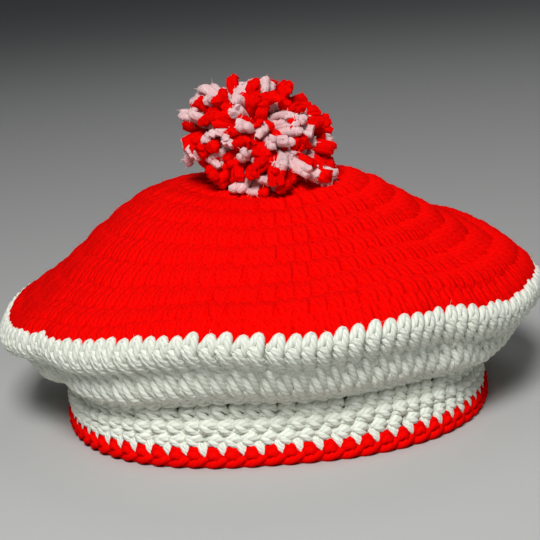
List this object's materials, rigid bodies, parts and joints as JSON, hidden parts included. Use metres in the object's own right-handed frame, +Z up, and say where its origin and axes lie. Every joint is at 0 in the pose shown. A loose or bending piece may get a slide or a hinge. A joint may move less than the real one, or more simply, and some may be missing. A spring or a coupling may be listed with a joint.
{
  "type": "crocheted beret with a pompom",
  "caption": "Crocheted beret with a domed crown, a soft rolled brim, a close head band on a narrow edging, and a yarn pompom on top.",
  "frame": {"origin": "on the ground that the hat stands on, in the middle of the head opening", "axes": "+Z up through the pompom, -Y towards the front as pictured, +X to the right seen from the front"},
  "size_m": [0.235, 0.2434, 0.1411],
  "materials": {
    "red_yarn": "matt, slightly fuzzy crocheted yarn",
    "white_yarn": "matt, slightly fuzzy crocheted yarn",
    "pompom_yarn": "loose cut yarn, red and white ends mixed about half and half"
  },
  "bodies": {
    "root": {"crown": "red_yarn", "brim": "white_yarn", "band": "white_yarn", "edging": "red_yarn", "pompom": "pompom_yarn"}
  },
  "joints": []
}
